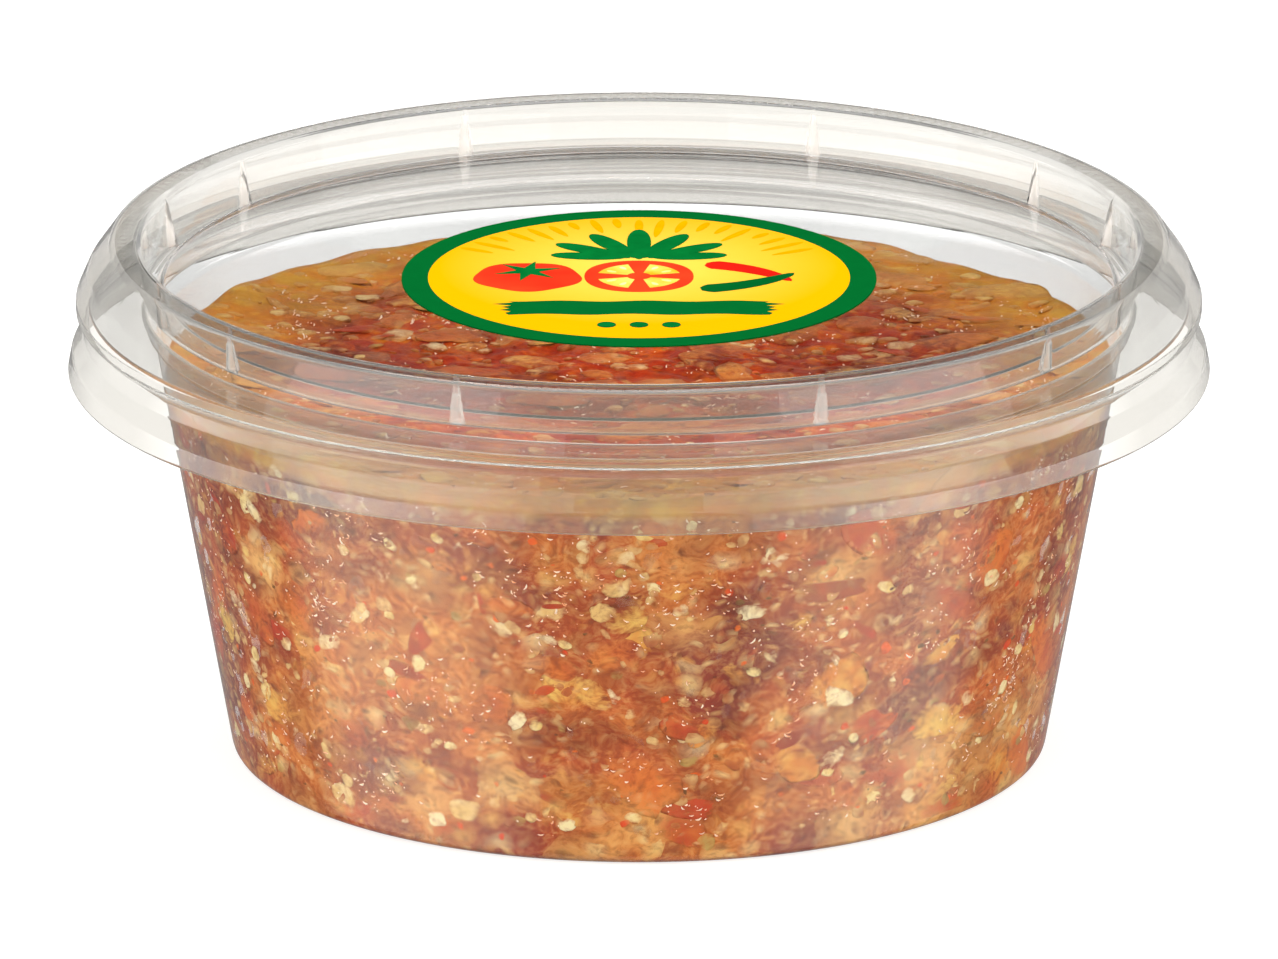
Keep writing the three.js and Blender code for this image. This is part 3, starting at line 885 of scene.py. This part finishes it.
class TUB_OT_label(Operator):
    """Make the round label and its generic print"""

    bl_idname = "tub.label"
    bl_label = "Label"

    def execute(self, context):
        label = context.scene.tub_label
        low, high, edge = LABEL_LOW.z, LABEL_HIGH.z, 0.06 * MM
        below = [corner(0, low), corner(label.radius, low, edge / 2)]
        above = [corner(label.radius, high, edge), corner(0, high)]
        corners, faces = revolved(rounded_line(below + above), full_circle(256))
        mesh_piece("label_disc", corners, faces, "label_paper", [label_print(label)], ["label"])
        self.print_motifs(label, high)
        return {"FINISHED"}

    def print_motifs(self, label, face):
        """Brush strokes, leaves, a sliced tomato, a whole one, two chillies, and a plain brushed band."""
        draw = np.random.default_rng(7)
        strokes = []
        for turn in np.radians(np.linspace(30, 150, 19)):
            length = draw.uniform(2.0, 5.0)
            start = (label.radius - label.rim) / MM - draw.uniform(0.3, 0.8) - length
            strokes.append(oval_leaf(start * math.cos(turn), start * math.sin(turn), length, 0.8, turn))
        leaves = []
        for lean, length, start in ((8, 6.0, 1.2), (34, 7.2, 0.9), (62, 7.6, 0.6)):
            for way in (math.radians(lean), math.pi - math.radians(lean)):
                leaves.append(oval_leaf(start * math.cos(way), 5.4, length, 2.1, way))
        leaves += [oval_leaf(0, 5.0, 8.4, 2.2, math.radians(90)), star(-9.0, 1.6, 2.8, 0.9, 6, 0.3)]
        leaves += [lobed(x, -13.4, 0.75, 2, 0.0, 1.0) for x in (-2.6, 0, 2.6)]
        tomatoes = [lobed(-9.0, 0.0, 4.5, 2.5, 0.07, 0.92, 1.57), lobed(0, 0.2, 4.6, 2, 0.04, 1.0)]
        chambers = [chamber(0, 0.2, 1.0, 3.4, math.radians(turn), math.radians(30))
                    for turn in (45, 135, 225, 315)]
        seeds = [oval_leaf(2.1 * math.cos(turn), 0.2 + 2.1 * math.sin(turn), 0.9, 0.45, turn)
                 for turn in np.radians([30, 60, 120, 150, 210, 240, 300, 330])]
        ripe = [chilli(5.4, 3.6, 8.6, 2.2, math.radians(-14), -0.75)]
        unripe = [chilli(5.0, -3.4, 9.0, 2.2, math.radians(12), 0.7)]
        band = [brushed_band(0, -8.6, 21, 3.7, 5)]
        green, orange, red = label.green, label.orange, label.red
        for name, outlines, level, ink, shades, scale, spread in (
            ("strokes", strokes, 1, "orange", (orange, times(orange, 0.85)), 700.0, 0.5),
            ("leaves", leaves, 4, "green", (green, times(green, 1.35)), 700.0, 0.5),
            ("tomatoes", tomatoes, 2, "red", (red, linear(216, 60, 30)), 90.0, 0.3),
            ("chambers", chambers, 3, "flesh", (orange, linear(250, 206, 96)), 400.0, 0.5),
            ("seeds", seeds, 4, "seed", (label.pale, linear(255, 240, 170)), 400.0, 0.5),
            ("red_chilli", ripe, 2, "chilli", (red, linear(176, 22, 14)), 160.0, 0.5),
            ("green_chilli", unripe, 3, "leaf", (green, times(green, 0.7)), 160.0, 0.5),
            ("band", band, 1, "band", (green, times(green, 0.9)), 700.0, 0.5),
        ):
            decal("label_" + name, outlines, face, level, printed("ink_" + ink, shades, scale, spread))


# Filling

# About the radius of the filling's top
TOP_RADIUS = 38.0 * MM


def fill_top(filling, x, y):
    """Height of the filling's top: low swells, and a little higher where it clings to the wall."""
    swell = 0.16 * np.sin(210 * x + 1.3) * np.cos(170 * y - 0.4) + 0.1 * np.sin(430 * y + 190 * x)
    around = np.arctan2(y, x)
    fine = 0.15 * np.sin(13 * around) + 0.1 * np.sin(31 * around + 2)
    clinging = 0.55 + 0.2 * np.sin(5 * around + 1) + fine
    return filling.level + (swell + clinging * (np.hypot(x, y) / TOP_RADIUS) ** 9) * MM


class TUB_OT_pulp(Operator):
    """Make the pulp that fills the cup, pressed against its wall"""

    bl_idname = "tub.pulp"
    bl_label = "Pulp"

    def execute(self, context):
        cup, filling = context.scene.tub_cup, context.scene.tub_filling
        inside = rounded_line(moved_sideways(cup_corners(cup), cup.sheet - filling.press))
        below = [point for point in inside if point.y < 2.0 * MM]
        section = [Vector((below[1].x * s, floor_inside(cup))) for s in np.linspace(0, 0.98, 24)] + below[1:]
        section += [Vector((wall_inside(cup, z) + filling.press, z))
                    for z in np.linspace(1.3 * MM, filling.level - 0.1 * MM, 76)]
        rim = wall_inside(cup, filling.level)
        section += [Vector((rim * s, filling.level)) for s in np.linspace(0.996, 0, 60)]
        corners, faces = revolved(section, full_circle(320))
        corners = self.settled(corners, cup, filling)
        mesh_piece("salsa_pulp", corners, faces, "salsa", [pulp_material(filling)], ["pico_de_gallo"])
        return {"FINISHED"}

    def settled(self, corners, cup, filling):
        """Lumps on the open top, and shallow hollows where the pulp lies on the wall."""
        x, y, z = corners.T
        lumps = waves(corners, 11, 3.4 * MM) + 0.6 * waves(corners, 12, 1.5 * MM)
        radius = np.hypot(x, y)
        on_wall = np.clip(np.minimum(z - 2.0 * MM, filling.level - 1.2 * MM - z) / (1.0 * MM), 0, 1)
        hollow = filling.hollow * np.clip(lumps - 0.55, 0, 1.2) * on_wall
        near_wall = np.clip((radius / wall_inside(cup, filling.level) - 0.97) / 0.02, 0, 1)
        top = fill_top(filling, x, y) + filling.relief * lumps * (1 - near_wall)
        height = np.where(z > filling.level - 0.05 * MM, top, z)
        grown = (radius - hollow) / np.maximum(radius, 1e-9)
        return np.stack([x * grown, y * grown, height], axis=-1)


def ball(subdivisions):
    """Corners and faces of an even ball of radius 1."""
    bm = bmesh.new()
    bmesh.ops.create_icosphere(bm, subdivisions=subdivisions, radius=1.0)
    corners = np.array([vertex.co for vertex in bm.verts])
    faces = np.array([[vertex.index for vertex in face.verts] for face in bm.faces])
    bm.free()
    return corners, faces


def many_faces(faces, corners_each, number):
    """The faces of many bodies that each have those of the first."""
    return (faces[None] + (np.arange(number) * corners_each)[:, None, None]).reshape(-1, 3)


def even_spots(draw, number):
    """Pairs of shares from 0 to 1 that cover a field evenly, each a little out of place."""
    steps = np.arange(number)[:, None] * np.array([0.7548776662, 0.5698402910])
    jog = draw.uniform(-0.5, 0.5, (number, 2)) / math.sqrt(max(number, 1))
    return (steps + draw.uniform(0, 1, 2) + jog) % 1.0


def chopped(draw, kind, number, corners):
    """Many pieces, each pulled out of a ball: their corners by piece, and half of each one's thickness."""
    shortest, longest = kind.length
    length = (shortest + (longest - shortest) * draw.uniform(0, 1, number) ** 1.9) * MM
    blocky = draw.uniform(*kind.blocky, (number, 1))
    level = corners[:, :2] / np.maximum(np.linalg.norm(corners[:, :2], axis=1, keepdims=True), 1e-9)
    pole = np.abs(corners[:, 2]) > 0.999
    level[pole] = (1.0, 0.0)
    squared = (np.abs(level[None]) ** blocky[..., None]).sum(-1) ** (-1 / blocky)
    body = np.stack([corners[:, 0] * squared, corners[:, 1] * squared, corners[:, 2] + 0 * squared], axis=-1)
    for strength, pace in ((0.16, 1.7), (0.09, 3.6)):
        ways = draw.normal(size=(number, 3, 1))
        phase = draw.uniform(0, 2 * math.pi, (number, 1, 1))
        body = body * (1 + strength * np.sin(pace * (corners[None] @ ways) + phase))
    half = np.stack([length / 2, length / 2 * kind.width, length / 2 * kind.thick], axis=-1)
    half[:, 1:] *= draw.uniform(0.75, 1.3, (number, 2))
    return body * half[:, None, :], half[:, 2]


def turned(draw, bodies, spin):
    """Spins each body flat by its angle, then tilts it a little."""
    number = len(bodies)
    for axis, angle in ((2, spin), (0, draw.normal(0, 0.3, number)), (1, draw.normal(0, 0.3, number))):
        first, second = [i for i in range(3) if i != axis]
        cos, sin = np.cos(angle)[:, None], np.sin(angle)[:, None]
        a, b = bodies[..., first].copy(), bodies[..., second].copy()
        bodies[..., first] = cos * a - sin * b
        bodies[..., second] = sin * a + cos * b
    return bodies


def facing_out(around, out, along):
    """X and Y of what reaches out from the axis, and along the wall, at an angle round it."""
    return np.cos(around) * out - np.sin(around) * along, np.sin(around) * out + np.cos(around) * along


def on_side(draw, cup, filling, bodies, depth):
    """Lays the bodies on the wall: their flat sides face out, and are pressed on it."""
    spots = even_spots(draw, len(bodies))
    low, high = floor_inside(cup) + 0.8 * MM, filling.level - 0.9 * MM
    height = low + (high - low) * spots[:, 1]
    out = (wall_inside(cup, height) - depth)[:, None] + bodies[..., 2]
    x, y = facing_out(spots[:, :1] * 2 * math.pi, out, bodies[..., 0])
    return np.stack([x, y, height[:, None] + bodies[..., 1]], axis=-1)


def on_disc(draw, bodies, reach, height_at, way):
    """Lays the bodies on the top, or under the base where way is -1."""
    spots = even_spots(draw, len(bodies))
    x, y = facing_out(spots[:, 0] * 2 * math.pi, np.sqrt(spots[:, 1]) * reach, 0)
    middles = np.stack([x, y, height_at(x, y)], axis=-1)
    return middles[:, None] + bodies * (1, way, way)


class TUB_OT_chop(Operator):
    """Make one kind of chopped piece, pressed on the wall and sunk into the top and base"""

    bl_idname = "tub.chop"
    bl_label = "Chopped pieces"

    kind: EnumProperty(name="Kind", description="What is chopped", items=[(name, name, "") for name in KINDS])

    def execute(self, context):
        cup, filling = context.scene.tub_cup, context.scene.tub_filling
        kind = KINDS[self.kind]
        draw = np.random.default_rng(100 + list(KINDS).index(self.kind))
        ball_corners, ball_faces = ball(kind.fineness)
        floor = floor_inside(cup)
        clouds = []
        for place, number in zip(("side", "top", "base"), kind.spread):
            bodies, half = chopped(draw, kind, number, ball_corners)
            bodies = turned(draw, bodies, draw.normal(0, 0.5, number))
            depth = half * draw.uniform(*kind.sink, number)
            if place == "side":
                laid = on_side(draw, cup, filling, bodies, depth)
            elif place == "top":
                reach = wall_inside(cup, filling.level) - 1.1 * MM
                laid = on_disc(draw, bodies, reach, lambda x, y: fill_top(filling, x, y) - depth * 0.5, 1)
            else:
                reach = wall_inside(cup, floor) - 1.4 * MM
                laid = on_disc(draw, bodies, reach, lambda x, y: floor + depth, -1)
            clouds.append(laid)
        cloud = np.concatenate(clouds)
        corners, bared = self.pressed(draw, cup, filling, cloud, kind.soft * MM)
        faces = many_faces(ball_faces, len(ball_corners), len(cloud))
        flesh = piece_material(self.kind, kind, filling)
        piece = mesh_piece(self.kind, corners.reshape(-1, 3), faces, "salsa", [flesh], ["pico_de_gallo"])
        self.store(piece.data, "bared", bared.ravel())
        self.store(piece.data, "tone", np.repeat(draw.uniform(0, 1, len(cloud)), len(ball_corners)))
        return {"FINISHED"}

    def store(self, mesh, name, values):
        """Keeps a number for each corner, for the material."""
        attribute = mesh.attributes.new(name, "FLOAT", "POINT")
        attribute.data.foreach_set("value", values.astype(np.float32))

    def pressed(self, draw, cup, filling, cloud, soft):
        """Flattens what would pass the wall, base or top. Says how far each corner stands out of the pulp."""
        reach = 0.035 * MM + 0.05 * MM * draw.uniform(0, 1, (len(cloud), 1))
        floor = floor_inside(cup)
        x, y, z = cloud[..., 0], cloud[..., 1], cloud[..., 2]
        radius = np.hypot(x, y)
        top = fill_top(filling, x, y)
        above_top = z - top
        beyond = np.maximum(np.maximum(radius - wall_inside(cup, z), floor - z), 0.55 * above_top)
        bared = np.clip(beyond / soft, 0, 1)
        inwards = np.clip((wall_inside(cup, filling.level) - radius) / (3.0 * MM), 0, 1)
        proud = (0.04 + 0.14 * inwards) * MM * np.tanh(above_top / (0.8 * MM)) + reach
        height = np.where(above_top > 0, top + proud, z)
        height = np.maximum(height, floor - reach)
        kept = np.minimum(1, (wall_inside(cup, height) + reach) / radius)
        return np.stack([x * kept, y * kept, height], axis=-1), bared


class TUB_OT_glints(Operator):
    """Make the tiny beads of juice and air on the wall and on the top, painted to glint in clusters"""

    bl_idname = "tub.glints"
    bl_label = "Glints"

    number: IntProperty(name="Number", description="How many beads there are", default=4800, min=1)

    def execute(self, context):
        cup, filling = context.scene.tub_cup, context.scene.tub_filling
        draw = np.random.default_rng(31)
        ball_corners, ball_faces = ball(1)
        places = self.clustered(draw, cup, filling)
        number = len(places)
        length = (0.1 + 0.65 * draw.uniform(0, 1, number) ** 2.5) * MM
        width = draw.uniform(0.035, 0.1, number) * MM
        half = np.stack([length / 2, width, np.full(number, 0.06 * MM)], axis=-1)
        bodies = ball_corners[None] * half[:, None, :]
        bodies[..., 1] += 0.5 * bodies[..., 0] ** 2 / half[:, None, 0]
        bodies = turned(draw, bodies, draw.normal(0.0, 0.6, number))
        top = (places[:, 2] > filling.level - 0.8 * MM)[:, None]
        along, up, out = np.moveaxis(bodies, -1, 0)
        out, up = np.where(top, up, out), np.where(top, out, up)
        x, y = facing_out(np.arctan2(places[:, 1], places[:, 0])[:, None], out, along)
        x, y = places[:, :1] + x, places[:, 1:2] + y
        z = np.maximum(places[:, 2:] + up, floor_inside(cup) + 0.2 * MM)
        kept = np.minimum(1, (wall_inside(cup, z) + 0.2 * MM) / np.hypot(x, y))
        corners = np.stack([x * kept, y * kept, z], axis=-1).reshape(-1, 3)
        faces = many_faces(ball_faces, len(ball_corners), number)
        mesh_piece("painted_juice_glints", corners, faces, "salsa", [glint_material()], ["pico_de_gallo"])
        return {"FINISHED"}

    def clustered(self, draw, cup, filling):
        """Places on the side and top, close together in some patches and none in others."""
        around = draw.uniform(0, 2 * math.pi, 9 * self.number)
        height = draw.uniform(cup.base_lift + 1.5 * MM, filling.level - 1.0 * MM, 9 * self.number)
        side = np.stack([*facing_out(around, wall_inside(cup, height) + 0.16 * MM, 0), height], axis=-1)
        reach = np.sqrt(draw.uniform(0, 1, 5 * self.number)) * (wall_inside(cup, filling.level) - 1.2 * MM)
        x, y = facing_out(around[:len(reach)], reach, 0)
        top = np.stack([x, y, fill_top(filling, x, y) + 0.12 * MM], axis=-1)
        kept = []
        for points, share_kept in ((side, 0.68), (top, 0.32)):
            patch = waves(points, 41, 9.0 * MM) + 0.8 * waves(points, 42, 2.6 * MM)
            order = np.argsort(-(patch + draw.normal(0, 0.9, len(points))))
            kept.append(points[order[:int(share_kept * self.number)]])
        return np.concatenate(kept)


# Stage

# What the floor's bright bow lies round
BOW_MIDDLE = (0, 0.097, 0)


class TUB_OT_stage(Operator):
    """Set up the camera, the pale floor and the soft lights"""

    bl_idname = "tub.stage"
    bl_label = "Stage"

    def execute(self, context):
        scene, stage = context.scene, context.scene.tub_stage
        self.place_camera(scene, stage)
        self.lay_floor(scene, stage)
        self.hang_lamps(scene, stage)
        self.light_sky(scene, stage)
        scene.view_settings.view_transform = "Standard"
        scene.cycles.use_denoising = True
        scene.cycles.diffuse_bounces = 2
        for kind in ("max", "glossy", "transmission", "transparent_max"):
            setattr(scene.cycles, kind + "_bounces", 40)
        return {"FINISHED"}

    def place_camera(self, scene, stage):
        """A long lens in front of the tub that looks a little down on it."""
        camera = bpy.data.objects.new("camera", bpy.data.cameras.new("camera"))
        camera.data.lens = stage.lens
        camera.data.clip_end = 50.0
        back = Vector((0, -math.cos(stage.pitch), math.sin(stage.pitch)))
        camera.location = back * stage.distance + Vector((0, 0, stage.aim))
        camera.rotation_euler = (math.pi / 2 - stage.pitch, 0, 0)
        scene.collection.objects.link(camera)
        scene.camera = camera

    def lay_floor(self, scene, stage):
        """A pale floor, just under the tub, that shines by itself and isn't mirrored in the plastic."""
        half, depth = stage.floor, -0.05 * MM
        corners = [(-half, -half, depth), (half, -half, depth), (half, half, depth), (-half, half, depth)]
        mesh = bpy.data.meshes.new("floor")
        mesh.from_pydata(corners, [], [(0, 1, 2, 3)])
        material, tree, where = new_material("pale_floor")
        tone = remap(tree, noise(tree, where, 12.0), 0.3, 0.7)
        finished(tree, {
            "Base Color": blend(tree, tone, (0.4, 0.4, 0.4), (0.42, 0.42, 0.42)), "Roughness": 0.9,
            "Specular IOR Level": 0.0, "Emission Color": (1.0, 1.0, 1.0, 1.0),
            "Emission Strength": self.table_light(tree, where, stage),
        })
        mesh.materials.append(material)
        floor = bpy.data.objects.new("floor", mesh)
        scene.collection.objects.link(floor)
        floor.visible_glossy = False

    def table_light(self, tree, where, stage):
        """The floor's own light: even, but for a bright bow behind the tub, which shines through the lid."""
        x, y, z = split(tree, where)
        aside = maths(tree, "ABSOLUTE", x)
        away = vector(tree, "DISTANCE", where, BOW_MIDDLE)
        bow = product(
            tree,
            remap(tree, aside, 0.046, 0.036),  # no wider than the tub
            remap(tree, y, 0.1, 0.12),  # only behind it
            remap(tree, away, 0.052, 0.056),  # its sharp inner edge
            remap(tree, away, 0.061, 0.068, 1.0, 0.3),  # dimmer further out
            remap(tree, away, 0.098, 0.078),  # its soft outer edge
        )
        return remap(tree, bow, 0.0, 1.0, stage.glow, stage.back_glow)

    def hang_lamps(self, scene, stage):
        """A lamp overhead, a softbox in front on either side, and a small lamp just under the label."""
        overhead = self.lamp(scene, "overhead", (0.0, 0.1, 1.1), (1.2, 1.0), stage.overhead)
        for side in (-1, 1):
            self.lamp(scene, "softbox", (side * 0.77, -0.64, 0.52), (1.3, 1.05), stage.softbox)
        just_under = (0, 0, LABEL_LOW.z - 0.6 * MM)
        under = self.lamp(scene, "under_label", just_under, (0.034, 0.034), stage.under_label)
        under.data.shape = "DISK"
        under.visible_camera = False
        for lamp in (overhead, under):
            lamp.visible_glossy = False
            lamp.visible_transmission = False

    def lamp(self, scene, name, place, extent, power):
        """A rectangular soft light that faces the tub."""
        data = bpy.data.lights.new(name, "AREA")
        data.shape = "RECTANGLE"
        data.size, data.size_y = extent
        data.energy = power
        lamp = bpy.data.objects.new(name, data)
        lamp.location = place
        lamp.rotation_euler = (Vector((0, 0, 0.02)) - Vector(place)).to_track_quat("-Z", "Y").to_euler()
        scene.collection.objects.link(lamp)
        return lamp

    def light_sky(self, scene, stage):
        """The studio round the tub, as the plastic mirrors it: grey, with bright cards, strips and a belt."""
        world = bpy.data.worlds.new("studio")
        scene.world = world
        world.use_nodes = True
        tree = world.node_tree
        tree.nodes.clear()
        way = node(tree, "TexCoord").outputs["Generated"]
        x, y, rise = split(tree, way)
        glow = blend(tree, remap(tree, rise, -0.25, -0.42), (0.68, 0.68, 0.68), (0.2, 0.2, 0.2))
        glow = self.patch(tree, way, glow, (0, 1, -0.35), 45, 25, (0.3, 0.3, 0.3))
        glow = blend(tree, remap(tree, rise, -0.68, -0.8), glow, (0.9, 0.9, 0.9))
        in_front, near_level = remap(tree, y, 0.15, -0.25), remap(tree, rise, -0.42, -0.33)
        belt = product(tree, near_level, remap(tree, rise, 0.22, 0.08), in_front)
        glow = blend(tree, belt, glow, times((1.0, 0.94, 0.8), stage.belt))
        sideways, not_behind = remap(tree, maths(tree, "ABSOLUTE", x), 0.55, 0.85), remap(tree, y, 0.5, 0.25)
        strips = product(
            tree, sideways, remap(tree, rise, -0.2, -0.08), remap(tree, rise, 0.16, 0.06), not_behind,
        )
        glow = blend(tree, strips, glow, (stage.strips,) * 3)
        for side in (-1, 1):
            card = times((0.95, 1.0, 0.86), stage.cards)
            glow = self.patch(tree, way, glow, (side * 0.82, -0.34, -0.469), 38, 5, card)
        ring = product(tree, remap(tree, rise, 0.1, 0.2), remap(tree, rise, 0.66, 0.56))
        glow = blend(tree, ring, glow, (0.45, 0.45, 0.45))
        for side in (-1, 1):
            glow = self.patch(tree, way, glow, (side * 0.6, -0.25, 0.76), 28, 8, (2.6, 2.5, 2.35))
        glow = self.patch(tree, way, glow, (0, -1, 1.3), 24, 6, (1.6, 1.4, 0.95))
        behind = (0, math.cos(stage.pitch), math.sin(stage.pitch))
        glow = self.patch(tree, way, glow, behind, 6.0, 3.5, (0.01, 0.01, 0.01))
        sky = node(tree, "Background", {"Color": glow, "Strength": 1.0})
        node(tree, "OutputWorld", {"Surface": sky.outputs[0]})

    def patch(self, tree, way, glow, towards, edge, core, shade):
        """Changes the glow in a round patch of sky, whose core and soft edge are given in degrees."""
        near = vector(tree, "DOT_PRODUCT", way, Vector(towards).normalized())
        within = remap(tree, near, math.cos(math.radians(edge)), math.cos(math.radians(core)))
        within.node.interpolation_type = "SMOOTHSTEP"
        return blend(tree, within, glow, shade)


SETTINGS = {
    "cup": CupSettings,
    "lid": LidSettings,
    "label": LabelSettings,
    "filling": FillingSettings,
    "stage": StageSettings,
}


class TUB_PT_sidebar(Panel):
    """Lists the tub's operators and their settings"""

    bl_label = "Pico de gallo tub"
    bl_idname = "TUB_PT_sidebar"
    bl_space_type = "VIEW_3D"
    bl_region_type = "UI"
    bl_category = "Tub"

    def draw(self, context):
        for operator, settings in zip(("cup", "lid", "label", "pulp", "stage"), SETTINGS):
            box = self.layout.box()
            box.operator("tub." + operator)
            group = getattr(context.scene, "tub_" + settings)
            for name in group.__annotations__:
                box.prop(group, name)
        for name in KINDS:
            self.layout.operator("tub.chop", text=name.replace("_", " ")).kind = name
        self.layout.operator("tub.glints")


CLASSES = (
    TUB_OT_cup, TUB_OT_lid, TUB_OT_label, TUB_OT_pulp, TUB_OT_chop, TUB_OT_glints, TUB_OT_stage,
    TUB_PT_sidebar,
)


def register():
    for name, group in SETTINGS.items():
        bpy.utils.register_class(group)
        setattr(bpy.types.Scene, "tub_" + name, PointerProperty(type=group))
    for made in CLASSES:
        bpy.utils.register_class(made)


def unregister():
    for made in reversed(CLASSES):
        bpy.utils.unregister_class(made)
    for name, group in SETTINGS.items():
        delattr(bpy.types.Scene, "tub_" + name)
        bpy.utils.unregister_class(group)


def main():
    register()
    bpy.ops.tub.stage()
    bpy.ops.tub.cup()
    bpy.ops.tub.lid()
    bpy.ops.tub.label()
    bpy.ops.tub.pulp()
    for name in KINDS:
        bpy.ops.tub.chop(kind=name)
    bpy.ops.tub.glints()


if __name__ == "__main__":
    main()
